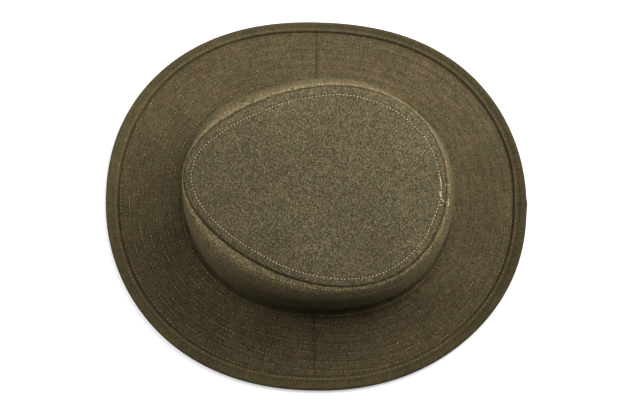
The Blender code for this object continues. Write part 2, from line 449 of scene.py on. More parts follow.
# Outward normals of a grid of points whose rows close round the hat
def gridNormals(points):
    along = np.roll(points, -1, axis=1) - np.roll(points, 1, axis=1)
    across = np.gradient(points, axis=0)
    normals = np.cross(across, along)
    return normals / np.maximum(np.linalg.norm(normals, axis=2, keepdims=True), 1e-12)


def closeRows(points):
    return np.concatenate([points, points[:1]])


def closeColumns(points):
    return np.concatenate([points, points[:, :1]], axis=1)


# A cloth piece from a grid whose vertices are moved onto the given points; sides that meet are merged
def clothPiece(name, points, paintedShading, material, nodes):
    rows, columns = points.shape[:2]
    mesh = bmesh.new()
    mesh.loops.layers.uv.new("cloth")
    bmesh.ops.create_grid(mesh, x_segments=columns - 1, y_segments=rows - 1, size=1.0, calc_uvs=True)
    paintedShadingLayer = mesh.verts.layers.float.new("paintedShading")
    for vert in mesh.verts:
        column = round((vert.co.x + 1) / 2 * (columns - 1))
        row = round((vert.co.y + 1) / 2 * (rows - 1))
        vert[paintedShadingLayer] = paintedShading[row, column]
        vert.co = points[row, column]
    bmesh.ops.remove_doubles(mesh, verts=mesh.verts, dist=hat["mergeWithin"])
    openEdges = [edge for edge in mesh.edges if edge.is_boundary]
    if openEdges:
        bmesh.ops.holes_fill(mesh, edges=openEdges)
    bmesh.ops.recalc_face_normals(mesh, faces=mesh.faces)
    stretchUv(finishPiece(name, mesh, material, nodes), points)


# UV in metres: along the row a quarter of the way through the grid, and down its first column
def stretchUv(piece, points):
    layer = piece.data.uv_layers["cloth"]
    places = np.zeros(len(layer.data) * 2, np.float32)
    layer.data.foreach_get("uv", places)
    places = places.reshape(-1, 2)
    sampleRow = points[points.shape[0] // 4]
    length = np.linalg.norm(np.diff(sampleRow, axis=0), axis=1).sum()
    steps = np.linalg.norm(np.diff(points[:, 0], axis=0), axis=1)
    across = np.concatenate([[0.0], np.cumsum(steps)])
    places[:, 0] *= length
    places[:, 1] = np.interp(places[:, 1], np.linspace(0, 1, len(across)), across)
    layer.data.foreach_set("uv", places.ravel())


def meshFrom(name, shape):
    data = bpy.data.meshes.new(name)
    shape.to_mesh(data)
    shape.free()
    return data


def finishPiece(name, mesh, material, nodes=()):
    data = meshFrom(name, mesh)
    data.shade_smooth()
    data.materials.append(material)
    piece = addObject(name, data)
    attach(piece, "root")
    if nodes:
        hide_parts(*nodes)
    return piece


# Nodes: a small set of helpers, then the effects shared by the cloths and threads
noiseReach = (0.3, 0.7)  # nearly all of a noise's values


def addNode(tree, kind, **settings):
    node = tree.nodes.new(kind)
    for name, value in settings.items():
        setattr(node, name, value)
    return node


# Links or sets a node's inputs, by name or, as i0, i1 and so on, by number
def feed(tree, node, **links):
    for name, source in links.items():
        socket = node.inputs[int(name[1:])] if name[0] == "i" and name[1:].isdigit() else node.inputs[name]
        if isinstance(source, bpy.types.NodeSocket):
            tree.links.new(source, socket)
        else:
            socket.default_value = source
    return node


def maths(tree, operation, first, second=0.5, third=0.5, clamp=False):
    node = addNode(tree, "ShaderNodeMath", operation=operation, use_clamp=clamp)
    feed(tree, node, i0=first, i1=second, i2=third)
    return node.outputs[0]


def mapRange(tree, value, low, high, newLow=0.0, newHigh=1.0):
    node = addNode(tree, "ShaderNodeMapRange")
    feed(tree, node, i0=value, i1=low, i2=high, i3=newLow, i4=newHigh)
    return node.outputs[0]


def mixColour(tree, share, first, second):
    node = addNode(tree, "ShaderNodeMix", data_type="RGBA", blend_type="MIX")
    feed(tree, node, i0=share, i6=first, i7=second)
    return node.outputs[2]


def newGroup(name, inputs, outputs):
    group = bpy.data.node_groups.new(name, "ShaderNodeTree")
    for label, kind, value in inputs:
        socket = group.interface.new_socket(name=label, in_out="INPUT", socket_type=kind)
        if value is not None:
            socket.default_value = value
    for label, kind in outputs:
        group.interface.new_socket(name=label, in_out="OUTPUT", socket_type=kind)
    start = group.nodes.new("NodeGroupInput")
    end = group.nodes.new("NodeGroupOutput")
    return group, start, end


def useGroup(tree, group, **values):
    return feed(tree, addNode(tree, "ShaderNodeGroup", node_tree=group), **values)


def newMaterial(name):
    material = bpy.data.materials.new(name)
    material.use_nodes = True
    return material, material.node_tree, material.node_tree.nodes["Principled BSDF"]


def timesVector(tree, vector, factor):
    node = addNode(tree, "ShaderNodeVectorMath", operation="SCALE")
    feed(tree, node, i0=vector, Scale=factor)
    return node.outputs[0]


# A noise's values spread evenly about 0
def swing(tree, noise, reach, low=noiseReach[0], high=noiseReach[1]):
    return mapRange(tree, noise, low, high, -reach, reach)


def noiseOf(tree, vector, scale, detail=2.0, roughness=0.5):
    node = addNode(tree, "ShaderNodeTexNoise")
    feed(tree, node, Vector=vector, Scale=scale, Detail=detail, Roughness=roughness)
    return node.outputs["Fac"]


# Specks of darker and lighter fibre, the size of one thread crossing
fleckShape = {
    "fineDetail": 1.0, "fineRoughness": 0.6, "fineReach": (0.34, 0.66), "fineShare": 0.6,
    "cellScale": 0.8, "spotReach": (0.15, 0.75), "spotShare": 0.25, "cellShare": 0.6,
}


def makeFleckGroup():
    look = fleckShape
    group, start, end = newGroup(
        "clothFlecks",
        [("Vector", "NodeSocketVector", None), ("Size", "NodeSocketFloat", 0.001),
         ("Contrast", "NodeSocketFloat", 1.0)],
        [("Shade", "NodeSocketFloat"), ("Height", "NodeSocketFloat"), ("Grain", "NodeSocketFloat")])
    perMetre = maths(group, "DIVIDE", 1.0, start.outputs["Size"])
    scaled = timesVector(group, start.outputs["Vector"], perMetre)
    fine = noiseOf(group, scaled, 1.0, look["fineDetail"], look["fineRoughness"])
    cells = addNode(group, "ShaderNodeTexVoronoi", feature="F1")
    feed(group, cells, Vector=scaled, Scale=look["cellScale"], Randomness=1.0)
    cellShade = addNode(group, "ShaderNodeSeparateColor")
    feed(group, cellShade, Color=cells.outputs["Color"])
    spots = mapRange(group, cells.outputs["Distance"], *look["spotReach"], 0.5, -0.5)
    sharp = swing(group, fine, 0.5, *look["fineReach"])
    evenCells = maths(group, "SUBTRACT", cellShade.outputs[0], 0.5)
    together = maths(group, "MULTIPLY", spots, look["spotShare"])
    together = maths(group, "MULTIPLY_ADD", sharp, look["fineShare"], together)
    together = maths(group, "MULTIPLY_ADD", evenCells, look["cellShare"], together)
    shade = maths(group, "MULTIPLY", together, start.outputs["Contrast"])
    feed(group, end, Shade=shade, Height=fine, Grain=cellShade.outputs[1])
    return group


# Over-and-under threads of a plain weave, a little uneven
weaveShape = {"wobbleScale": 260.0, "wobbleDetail": 1.0, "wobbleReach": 9.0}


def makeWeaveGroup():
    look = weaveShape
    group, start, end = newGroup(
        "plainWeave",
        [("Vector", "NodeSocketVector", None), ("Pitch", "NodeSocketFloat", 0.0007),
         ("Uneven", "NodeSocketFloat", 0.4)],
        [("Height", "NodeSocketFloat"), ("Gap", "NodeSocketFloat")])
    perMetre = maths(group, "DIVIDE", math.pi, start.outputs["Pitch"])
    wobble = addNode(group, "ShaderNodeTexNoise")
    feed(group, wobble, Vector=start.outputs["Vector"], Scale=look["wobbleScale"], Detail=look["wobbleDetail"])
    scaled = timesVector(group, start.outputs["Vector"], perMetre)
    reach = maths(group, "MULTIPLY", start.outputs["Uneven"], look["wobbleReach"])
    moved = addNode(group, "ShaderNodeVectorMath", operation="ADD")
    feed(group, moved, i0=scaled, i1=timesVector(group, wobble.outputs["Color"], reach))
    parts = addNode(group, "ShaderNodeSeparateXYZ")
    feed(group, parts, Vector=moved.outputs[0])
    warp = maths(group, "SINE", parts.outputs[0])
    weft = maths(group, "SINE", parts.outputs[1])
    over = maths(group, "GREATER_THAN", maths(group, "MULTIPLY", warp, weft), 0.0)
    warpHeight = maths(group, "ABSOLUTE", warp)
    weftHeight = maths(group, "ABSOLUTE", weft)
    upper = maths(group, "MULTIPLY", warpHeight, over)
    lower = maths(group, "MULTIPLY", weftHeight, maths(group, "SUBTRACT", 1.0, over))
    height = maths(group, "ADD", upper, lower)
    gap = maths(group, "SUBTRACT", 1.0, maths(group, "MAXIMUM", warpHeight, weftHeight))
    feed(group, end, Height=height, Gap=gap)
    return group


# Broad drifts between the greener and the browner dye
dyeShape = {
    "broadDetail": 3.0, "broadRoughness": 0.55, "broadReach": (0.38, 0.62), "broadShare": 0.3,
    "slowScale": 0.23, "slowShare": 0.5, "grainShare": 1.2,
}


def makeDyeGroup():
    look = dyeShape
    group, start, end = newGroup(
        "dyeDrift",
        [("Vector", "NodeSocketVector", None), ("Green", "NodeSocketColor", (0.10, 0.09, 0.05, 1)),
         ("Brown", "NodeSocketColor", (0.11, 0.085, 0.05, 1)), ("Size", "NodeSocketFloat", 0.012),
         ("Grain", "NodeSocketFloat", 0.5)],
        [("Color", "NodeSocketColor"), ("Light", "NodeSocketFloat")])
    perMetre = maths(group, "DIVIDE", 1.0, start.outputs["Size"])
    broad = noiseOf(group, start.outputs["Vector"], perMetre, look["broadDetail"], look["broadRoughness"])
    slow = noiseOf(group, start.outputs["Vector"], maths(group, "MULTIPLY", perMetre, look["slowScale"]))
    evenGrain = maths(group, "SUBTRACT", start.outputs["Grain"], 0.5)
    share = maths(group, "MULTIPLY_ADD", evenGrain, look["grainShare"],
                  mapRange(group, broad, *look["broadReach"]), clamp=True)
    colour = mixColour(group, share, start.outputs["Green"], start.outputs["Brown"])
    light = maths(group, "ADD", swing(group, slow, look["slowShare"]), swing(group, broad, look["broadShare"]))
    feed(group, end, Color=colour, Light=light)
    return group


fleckGroup = makeFleckGroup()
weaveGroup = makeWeaveGroup()
dyeGroup = makeDyeGroup()


# Painted light: an even slope of brightness over the hat, with weights for each metre to the wearer's left and to the
# back
def paintedLightSlope(tree, place, weights):
    node = addNode(tree, "ShaderNodeVectorMath", operation="DOT_PRODUCT")
    feed(tree, node, i0=place, i1=(*weights, 0))
    return node.outputs["Value"]


# One olive cloth, darkened and lightened by the piece's painted shading: painted shade in grooves, creases and at the
# crown's foot (above 0), painted highlight and lighter ridges (below 0)
def clothMaterial(name, look):
    material, tree, shader = newMaterial(name)
    place = addNode(tree, "ShaderNodeTexCoord").outputs["Object"]
    uv = addNode(tree, "ShaderNodeUVMap", uv_map="cloth").outputs["UV"]
    paintedShading = addNode(tree, "ShaderNodeAttribute", attribute_name="paintedShading").outputs["Fac"]
    flecks = useGroup(tree, fleckGroup, Vector=place, Size=look["fleckSize"], Contrast=look["fleckContrast"])
    weavePlace = place if look["weaveOn"] == "object" else uv
    weave = useGroup(tree, weaveGroup, Vector=weavePlace, Pitch=look["weavePitch"], Uneven=look["uneven"])
    dye = useGroup(tree, dyeGroup, Vector=place, Green=(*look["green"], 1), Brown=(*look["brown"], 1),
                   Size=look["driftSize"], Grain=flecks.outputs["Grain"])
    light = maths(tree, "MULTIPLY", dye.outputs["Light"], look["drift"])
    stretched = addNode(tree, "ShaderNodeMapping")
    feed(tree, stretched, Vector=uv, Scale=(1 / look["streakWidth"], 1 / look["streakLength"], 1))
    streak = swing(tree, noiseOf(tree, stretched.outputs[0], 1.0, look["streakDetail"]), 0.5)
    light = maths(tree, "MULTIPLY_ADD", streak, look["streak"], light)
    light = maths(tree, "ADD", light, flecks.outputs["Shade"])
    light = maths(tree, "MULTIPLY_ADD", weave.outputs["Gap"], -look["gapDark"], light)
    # Painted shade and painted highlight, from the piece's own attribute
    light = maths(tree, "MULTIPLY_ADD", paintedShading, -look["paintedShadingStrength"], light)
    # Painted light: a slope of brightness across the hat
    light = maths(tree, "ADD", light, paintedLightSlope(tree, place, look["ramp"]))
    colour = timesVector(tree, dye.outputs["Color"], maths(tree, "EXPONENT", light))
    rough = mapRange(tree, flecks.outputs["Height"], *noiseReach, *look["roughness"])
    height = maths(tree, "MULTIPLY", weave.outputs["Height"], look["weaveHeight"])
    height = maths(tree, "MULTIPLY_ADD", flecks.outputs["Height"], look["fleckHeight"], height)
    bump = addNode(tree, "ShaderNodeBump")
    feed(tree, bump, Strength=1.0, Distance=1.0, Height=height)
    feed(tree, shader, **{
        "Base Color": colour, "Roughness": rough, "Normal": bump.outputs[0], "Specular IOR Level": look["specular"],
        "Sheen Weight": look["sheen"], "Sheen Roughness": look["sheenRoughness"],
        "Sheen Tint": (*look["sheenTint"], 1)})
    return material


# The two slope weights in each look are painted light; on the tip it is lighter away from the wearer's left and
# towards the back
tipLook = {
    "green": (0.088, 0.077, 0.041), "brown": (0.098, 0.075, 0.040), "driftSize": 0.008, "drift": 0.18,
    "fleckSize": 0.00052, "fleckContrast": 2.15, "fleckHeight": 0.00022, "ramp": (-1.6, 0.8),
    "weaveOn": "object", "weavePitch": 0.00075, "uneven": 0.5, "weaveHeight": 0.00012, "gapDark": 0.4,
    "streak": 0.0, "streakWidth": 0.0022, "streakLength": 0.010, "streakDetail": 1.5,
    "paintedShadingStrength": 0.85, "roughness": (0.86, 0.97), "specular": 0.12,
    "sheen": 0.03, "sheenRoughness": 0.45, "sheenTint": (1.0, 0.88, 0.60),
}
# Painted light: the wall's cloth is the tip's cloth made about a quarter lighter
sideLook = {**tipLook, "green": (0.112, 0.095, 0.048), "brown": (0.122, 0.090, 0.045), "fleckContrast": 2.0,
            "weaveOn": "uv", "ramp": (0.0, 0.0), "specular": 0.05, "sheen": 0.0}
# The brim's slope weights are painted light as well
brimLook = {
    **tipLook,
    "green": (0.080, 0.069, 0.032), "brown": (0.093, 0.065, 0.033), "driftSize": 0.007, "drift": 0.26,
    "fleckSize": 0.0006, "ramp": (-0.3, 0.1), "fleckContrast": 1.25, "fleckHeight": 0.00016, "paintedShadingStrength": 0.75,
    "weavePitch": 0.00062, "weaveHeight": 0.00009, "gapDark": 0.30, "streak": 0.24,
}
# The binding's slope weights are painted light: lighter to the wearer's left, darker towards the back
bindingLook = {
    **brimLook, "green": (0.070, 0.061, 0.028), "brown": (0.082, 0.059, 0.028), "fleckContrast": 0.85,
    "fleckHeight": 0.00012, "weaveOn": "uv", "drift": 0.20, "streak": 0.22, "sheen": 0.0, "ramp": (0.6, -1.3),
}

tipCloth = clothMaterial("tipCloth", tipLook)
sideCloth = clothMaterial("sideCloth", sideLook)
brimCloth = clothMaterial("brimCloth", brimLook)
bindingCloth = clothMaterial("bindingCloth", bindingLook)
print("cloth materials made")


def makeTip():
    look = tipShape
    rim = np.linspace(0, look["rimWidth"], look["rimRows"], endpoint=False)
    middle = np.linspace(look["rimWidth"], tipOval["halfWidth"], look["middleRows"])
    inset = np.concatenate([rim, middle])[::-1]
    turns, insets = np.meshgrid(turnsRound(look["columns"]), inset)
    upper = tipTop(turns, insets)
    lower = upper - np.array([0, 0, hat["tipCloth"]])
    points = closeColumns(np.concatenate([upper, lower[::-1]]))
    # Painted shade in the seam groove and along the stitch row; none on the underside
    paintedShading = paintSeamShade(turns, insets) + look["stitchShade"] * bell(insets - tipRow(turns), look["stitchShadeWidth"])
    paintedShading = closeColumns(np.concatenate([paintedShading, paintedShading[::-1] * 0]))
    clothPiece("tipPanel", points, paintedShading, tipCloth, ["crown_tip"])


# Painted shading on the wall: painted shade at its foot and seam, painted highlight on the shoulder and flanks
def paintWallShading(turn, drop):
    look = wallShadePaint
    leftSide = np.maximum(0, np.sin(turn))
    notLeft = 1 - leftSide ** look["leftPower"]
    paintedShading = paintSeamShade(turn, drop) + look["ridge"] * bell(drop - wallShape["ridgeAt"], look["ridgeWidth"])
    # Painted shade down the lower wall on the wearer's left side, and at the wall's foot all round
    paintedShading = paintedShading + look["foot"] * easeStep(drop, *look["footStart"]) * leftSide ** look["footPower"]
    paintedShading = paintedShading + look["base"] * bell(drop - wallDrop[0], look["baseWidth"])
    # Painted highlight on the shoulder away from the wearer's left side, and on the lower flanks
    paintedShading = paintedShading + look["shoulderHighlight"] * bell(drop - look["shoulderHighlightAt"], look["shoulderHighlightWidth"]) * notLeft
    flank = leftSide * notLeft * (1 + look["flankBack"] * np.cos(turn))
    paintedShading = paintedShading + look["flank"] * easeStep(drop, *look["flankStart"]) * flank
    front = np.maximum(0, -np.cos(turn)) ** look["frontPower"]
    return paintedShading + look["front"] * bell(drop - look["frontAt"], look["frontWidth"]) * front


def makeSide():
    look = wallShape
    shoulder = np.linspace(0, look["shoulderDrop"], look["shoulderRows"], endpoint=False)
    down = np.linspace(look["shoulderDrop"], wallDrop[0], look["rowsUp"] - look["shoulderRows"])
    drop = np.concatenate([shoulder, down])[::-1]
    turns, drops = np.meshgrid(turnsRound(look["columns"]), drop)
    base = wallBase(turns, wallShareAt(drops))
    skirt = base[:1].copy()
    skirt[..., 2] = footLow.z
    base = np.concatenate([skirt, base])
    turns = np.concatenate([turns[:1], turns])
    drops = np.concatenate([drops[:1], drops])
    normals = gridNormals(base)
    outer = base + normals * wallLift(turns, drops)[..., None]
    inner = outer - normals * hat["sideCloth"]
    inner[-1] = outer[-1] - np.array([0, 0, look["foldIn"]])
    # Painted shading for the outside of the wall, none on its inside
    paintedShading = paintWallShading(turns, drops)
    points = closeColumns(closeRows(np.concatenate([outer, inner[::-1]])))
    paintedShading = closeColumns(closeRows(np.concatenate([paintedShading, paintedShading[::-1] * 0])))
    clothPiece("crownWall", points, paintedShading, sideCloth, ["crown_side"])


def brimTop(turn, inset):
    base = brimBase(turn, inset)
    base[..., 2] += hat["brimCloth"] / 2 + brimLift(turn, inset)
    return base


def brimUnder(turn, inset):
    base = brimBase(turn, inset)
    base[..., 2] -= hat["brimCloth"] / 2 + brimShape["underShare"] * brimLift(turn, inset)
    return base


# Turns and insets of one half of the brim, between the two side seams
def halfGrid(start, stop, share):
    along = np.linspace(0, 1, brimShape["columns"])
    middle = np.radians(start[1] + (stop[1] - start[1]) * along)
    insets = hat["rimHalf"] + (crownInset(middle) - hat["rimHalf"])[None, :] * share[:, None]
    outward = brimOutward(np.broadcast_to(middle, insets.shape), insets)
    first = seamTurn(start[1], start[2], outward) + seamGap
    last = seamTurn(stop[1], stop[2], outward) - seamGap
    return first + (last - first) * along[None, :], insets


# Painted shade in the brim's grooves, beside the binding and round the crown's foot; lighter between the rows
def paintBrimShading(turn, inset):
    look = brimShadePaint
    number = rowNumber(turn, inset)
    fromBase = crownInset(turn) - inset
    paintedShading = look["row"] * bell(rowAway(turn, number), look["rowWidth"])
    paintedShading = paintedShading + look["seam"] * bell(seamAway(turn, inset), look["seamWidth"])
    paintedShading = paintedShading + look["edge"] * bell(inset - bindingEdge(turn), look["edgeWidth"])
    sides = look["footEven"] + (1 - look["footEven"]) * leftward(turn)
    paintedShading = paintedShading + look["foot"] * bell(fromBase, look["footWidth"]) * sides
    paintedShading = paintedShading + look["front"] * bell(fromBase, look["frontWidth"]) * np.maximum(0, -np.cos(turn)) ** 2
    return paintedShading + look["puff"] * np.sin(math.pi * number) ** 2


def makeBrimHalf(name, node, start, stop):
    look = brimShape
    edgeShares = np.linspace(0, look["edgeShare"], look["edgeRows"], endpoint=False)
    otherShares = np.linspace(look["edgeShare"], 1, look["topRows"] - look["edgeRows"])
    turns, insets = halfGrid(start, stop, np.concatenate([edgeShares, otherShares]))
    upper = brimTop(turns, insets)
    underTurns, underInsets = halfGrid(start, stop, np.linspace(0, 1, look["underRows"]))
    lower = brimUnder(underTurns, underInsets)
    points = closeRows(np.concatenate([upper[::-1], lower]))
    paintedShading = closeRows(np.concatenate([paintBrimShading(turns, insets)[::-1], underInsets * 0]))
    clothPiece(name, points, paintedShading, brimCloth, [node])


# Folded strip round the edge, with a ridge at its inner edge and its own join at the back
bindingShape = {
    "ridgeIn": 1.9 * mm, "ridgeLift": 0.32 * mm, "ridgeWidth": 1.0 * mm,
    "hollowIn": 4.2 * mm, "hollow": 0.24 * mm, "hollowWidth": 1.3 * mm,
    "edgeDip": 0.85 * mm, "edgeDipWidth": 1.1 * mm,
    "pucker": 0.07 * mm, "puckerLength": 3 * mm, "puckerWaves": (41, (70, 190), 1.6, 9),
    "joinDeg": -2.1, "joinLift": 0.30 * mm, "joinStartDeg": (-0.15, 0.15), "joinEndDeg": (0.4, 3.4),
    "joinSpread": 0.6 * mm, "joinSpreadWidth": 3 * mm, "upward": (-0.2, 0.9),
    "columns": 520, "bendRows": 13, "topRows": 24, "underRows": 8,
}
# Painted shade in the hollow, stronger towards the back, and along the strip's inner edge; lighter on the ridge;
# darker at the join
bindingShadePaint = {
    "ridge": -0.30, "ridgeWidth": 1.0 * mm, "hollow": 0.30, "hollowWidth": 1.2 * mm, "hollowBack": 0.45,
    "edge": 0.45, "edgeWidth": 0.6 * mm, "join": 0.7, "joinDeg": 0.9, "joinWidthDeg": 0.7, "joinDepth": 1.6 * mm,
}


def fromJoinDeg(turn):
    return np.degrees(wrapped(turn - math.radians(bindingShape["joinDeg"])))


def joinOverlap(turn):
    away = fromJoinDeg(turn)
    return easeStep(away, *bindingShape["joinStartDeg"]) * (1 - easeStep(away, *bindingShape["joinEndDeg"]))


def bindingLift(turn, inset):
    look = bindingShape
    inward = bindingEdge(turn) - inset
    lift = look["ridgeLift"] * bell(inward - look["ridgeIn"], look["ridgeWidth"])
    lift = lift - look["hollow"] * bell(inward - look["hollowIn"], look["hollowWidth"])
    lift = lift - look["edgeDip"] * (1 - easeStep(inward, 0, look["edgeDipWidth"]))
    lift = lift + look["pucker"] * waveField(turn, inset / look["puckerLength"], *look["puckerWaves"])
    return lift + look["joinLift"] * joinOverlap(turn)


def bindingTop(turn, inset):
    return withHeight(ovalPlan(turn, brimOval, inset), 2 * hat["rimHalf"] + bindingLift(turn, inset))


# Painted shade and a lighter ridge on the outside of the binding
def paintBindingShading(turn, inset):
    look = bindingShadePaint
    inward = bindingEdge(turn) - inset
    fromHollow = inward - bindingShape["hollowIn"]
    back = 1 - look["hollowBack"] + look["hollowBack"] * np.cos(turn)
    paintedShading = look["hollow"] * bell(fromHollow, look["hollowWidth"]) * back
    paintedShading = paintedShading + look["ridge"] * bell(inward - bindingShape["ridgeIn"], look["ridgeWidth"])
    paintedShading = paintedShading + look["edge"] * bell(inward, look["edgeWidth"])
    join = bell(fromJoinDeg(turn) - look["joinDeg"], look["joinWidthDeg"])
    return paintedShading + look["join"] * join * bell(fromHollow, look["joinDepth"])


# The path across the strip has columns for its share of the flat part, its inset and its height
def makeBinding():
    look = bindingShape
    turn = turnsRound(look["columns"])
    rim, tuck = hat["rimHalf"], hat["rimHalf"] - hat["bindingCloth"]
    bend = np.linspace(math.pi / 2, -math.pi / 2, look["bendRows"])
    path = [(share, rim, rim) for share in np.linspace(1, 0, look["topRows"], endpoint=False)]
    path += [(0, rim - rim * math.cos(angle), rim * math.sin(angle)) for angle in bend]
    path += [(share, rim, -rim) for share in np.linspace(0, 1, look["underRows"])[1:]]
    outerCount = len(path)
    path += [(1, rim, -tuck), (0, rim, -tuck)]
    path += [(0, rim - tuck * math.cos(angle), tuck * math.sin(angle)) for angle in bend[::-1][1:-1]]
    path += [(0, rim, tuck), (1, rim, tuck)]
    share, inset, height = np.array(path).T[:, :, None]
    isOuter = (np.arange(len(path)) < outerCount)[:, None]
    insets = inset + share * (bindingEdge(turn) - rim)[None, :]
    turns, heights = np.broadcast_to(turn, insets.shape), np.broadcast_to(height, insets.shape)
    upward = easeStep(heights, look["upward"][0] * rim, look["upward"][1] * rim) * isOuter
    nearEdge = 1 - easeStep(insets, 0, look["joinSpreadWidth"])
    spread = look["joinSpread"] * joinOverlap(turns) * isOuter * nearEdge
    plan = ovalPlan(turns, brimOval, insets - spread)
    points = withHeight(plan, rim + heights + bindingLift(turns, insets) * upward)
    paintedShading = paintBindingShading(turns, insets) * isOuter
    points, paintedShading = closeColumns(closeRows(points)), closeColumns(closeRows(paintedShading))
    clothPiece("edgeBinding", points, paintedShading, bindingCloth, ["brim_binding"])


makeTip()
makeSide()
leftSeam, rightSeam = sideSeams
makeBrimHalf("brimBackCloth", "brim_back", (rightSeam[0], rightSeam[1] - 360, rightSeam[2] - 360), leftSeam)
makeBrimHalf("brimFrontCloth", "brim_front", leftSeam, rightSeam)
makeBinding()
print("cloth pieces made")


# Thread: one short bent strand, copied along each row of stitches
def threadMaterial(name, look):
    material, tree, shader = newMaterial(name)
    place = addNode(tree, "ShaderNodeTexCoord").outputs["Object"]
    flecks = useGroup(tree, fleckGroup, Vector=place, Size=look["grainSize"], Contrast=look["grain"])
    dye = useGroup(tree, dyeGroup, Vector=place, Green=(*look["light"], 1), Brown=(*look["dark"], 1),
                   Size=look["driftSize"])
    # Painted light: a slope of brightness across the hat
    light = maths(tree, "ADD", flecks.outputs["Shade"], paintedLightSlope(tree, place, look["ramp"]))
    colour = timesVector(tree, dye.outputs["Color"], maths(tree, "EXPONENT", light))
    rough = mapRange(tree, flecks.outputs["Height"], *noiseReach, *look["roughness"])
    uv = addNode(tree, "ShaderNodeUVMap", uv_map="strand").outputs["UV"]
    twist = addNode(tree, "ShaderNodeTexWave", wave_type="BANDS", bands_direction="DIAGONAL")
    feed(tree, twist, Vector=uv, Scale=look["twistScale"], Distortion=look["twistUneven"])
    bump = addNode(tree, "ShaderNodeBump")
    feed(tree, bump, Strength=look["twistStrength"], Distance=look["twistHeight"], Height=twist.outputs["Fac"])
    feed(tree, shader, **{
        "Base Color": colour, "Roughness": rough, "Normal": bump.outputs[0], "Specular IOR Level": look["specular"]})
    return material


twistLook = {"twistScale": 1.6, "twistUneven": 0.4, "twistStrength": 0.6, "twistHeight": 0.0001,
             "roughness": (0.55, 0.75), "specular": 0.4}
ochreLook = {**twistLook, "light": (0.62, 0.52, 0.33), "dark": (0.48, 0.33, 0.17), "driftSize": 0.006,
             "grain": 0.5, "grainSize": 0.0006, "ramp": (0.0, 0.0)}
wallLook = {**ochreLook, "light": (0.52, 0.44, 0.28), "dark": (0.36, 0.26, 0.14)}
tackLook = {**ochreLook, "light": (0.80, 0.70, 0.48), "dark": (0.68, 0.52, 0.30)}
# The tan thread's slope weights are painted light: lighter to the wearer's left, darker towards the back
tanLook = {**twistLook, "light": (0.205, 0.165, 0.092), "dark": (0.19, 0.115, 0.055), "driftSize": 0.014,
           "grain": 1.3, "grainSize": 0.0040, "ramp": (1.5, -1.2)}
ochreThread = threadMaterial("ochreThread", ochreLook)
wallThread = threadMaterial("wallThread", wallLook)
tackThread = threadMaterial("tackThread", tackLook)
tanThread = threadMaterial("tanThread", tanLook)


strandShape = {"sides": 6, "rings": 4, "bend": 0.35}


def strandMesh(look):
    mesh = bmesh.new()
    mesh.loops.layers.uv.new("strand")
    bmesh.ops.create_uvsphere(mesh, u_segments=look["sides"], v_segments=look["rings"], radius=0.5, calc_uvs=True,
                              matrix=Matrix.Rotation(math.pi / 2, 4, "Y"))
    for vert in mesh.verts:
        vert.co.z -= look["bend"] * vert.co.x ** 2
    return meshFrom("strand", mesh)


# Short ways along a surface that give its directions there, as a distance and as a turn
nudge, turnNudge = 0.2 * mm, 0.002
ahead = 0.3 * mm


# A row of stitches over a surface, along a path given as turns and distances
def stitchRow(target, surface, turns, distances, look):
    dense = surface(turns, distances)
    travelled = np.concatenate([[0.0], np.cumsum(np.linalg.norm(np.diff(dense, axis=0), axis=1))])
    count = int(travelled[-1] / look["pitch"])
    chance = np.random.default_rng(look["seed"])
    at = (np.arange(count) + 0.5 + chance.uniform(-look["pitchVary"], look["pitchVary"], count)) * look["pitch"]
    turn, distance = [np.interp(at, travelled, path) for path in (turns, distances)]
    turnAhead, distanceAhead = [np.interp(at + ahead, travelled, path) for path in (turns, distances)]
    here = surface(turn, distance)
    along = surface(turnAhead, distanceAhead) - here
    across = surface(turn, distance + ahead) - here
    for index in range(count):
        forward = Vector(along[index]).normalized()
        up = forward.cross(Vector(across[index])).normalized()
        if up.z * look["facing"] < 0:
            up = -up
        aside = up.cross(forward)
        slant = math.radians(chance.uniform(-look["slantDeg"], look["slantDeg"]))
        cosine, sine = math.cos(slant), math.sin(slant)
        forward, aside = forward * cosine + aside * sine, aside * cosine - forward * sine
        size = 1 + chance.uniform(-look["sizeVary"], look["sizeVary"])
        spot = Vector(here[index]) + up * look["sit"]
        axes = (forward * look["length"] * size, aside * look["width"], up * look["height"])
        copy = strand.copy()
        copy.transform(Matrix.Translation(spot) @ Matrix(axes).transposed().to_4x4())
        target.from_mesh(copy)
        bpy.data.meshes.remove(copy)


def wallTop(turn, drop):
    here = wallBase(turn, wallShareAt(drop))
    below = wallBase(turn, wallShareAt(drop + nudge)) - here
    beside = wallBase(turn + turnNudge, wallShareAt(drop)) - here
    normal = np.cross(below, beside)
    normal /= np.linalg.norm(normal, axis=-1, keepdims=True)
    return here + normal * wallLift(turn, drop)[..., None]


strand = strandMesh(strandShape)
tipStitch = {"pitch": 2.45 * mm, "length": 1.40 * mm, "width": 0.62 * mm, "height": 0.50 * mm, "sit": 0.10 * mm,
             "slantDeg": 12, "pitchVary": 0.06, "sizeVary": 0.12, "facing": 1, "seed": 51}
wallStitch = {**tipStitch, "length": 1.3 * mm, "width": 0.5 * mm, "height": 0.40 * mm, "seed": 56}
tackStitch = {**tipStitch, "pitch": 1.5 * mm, "length": 1.35 * mm, "width": 0.60 * mm, "slantDeg": 25}
tackSeed = 60  # for the first run, and one more for each run after it
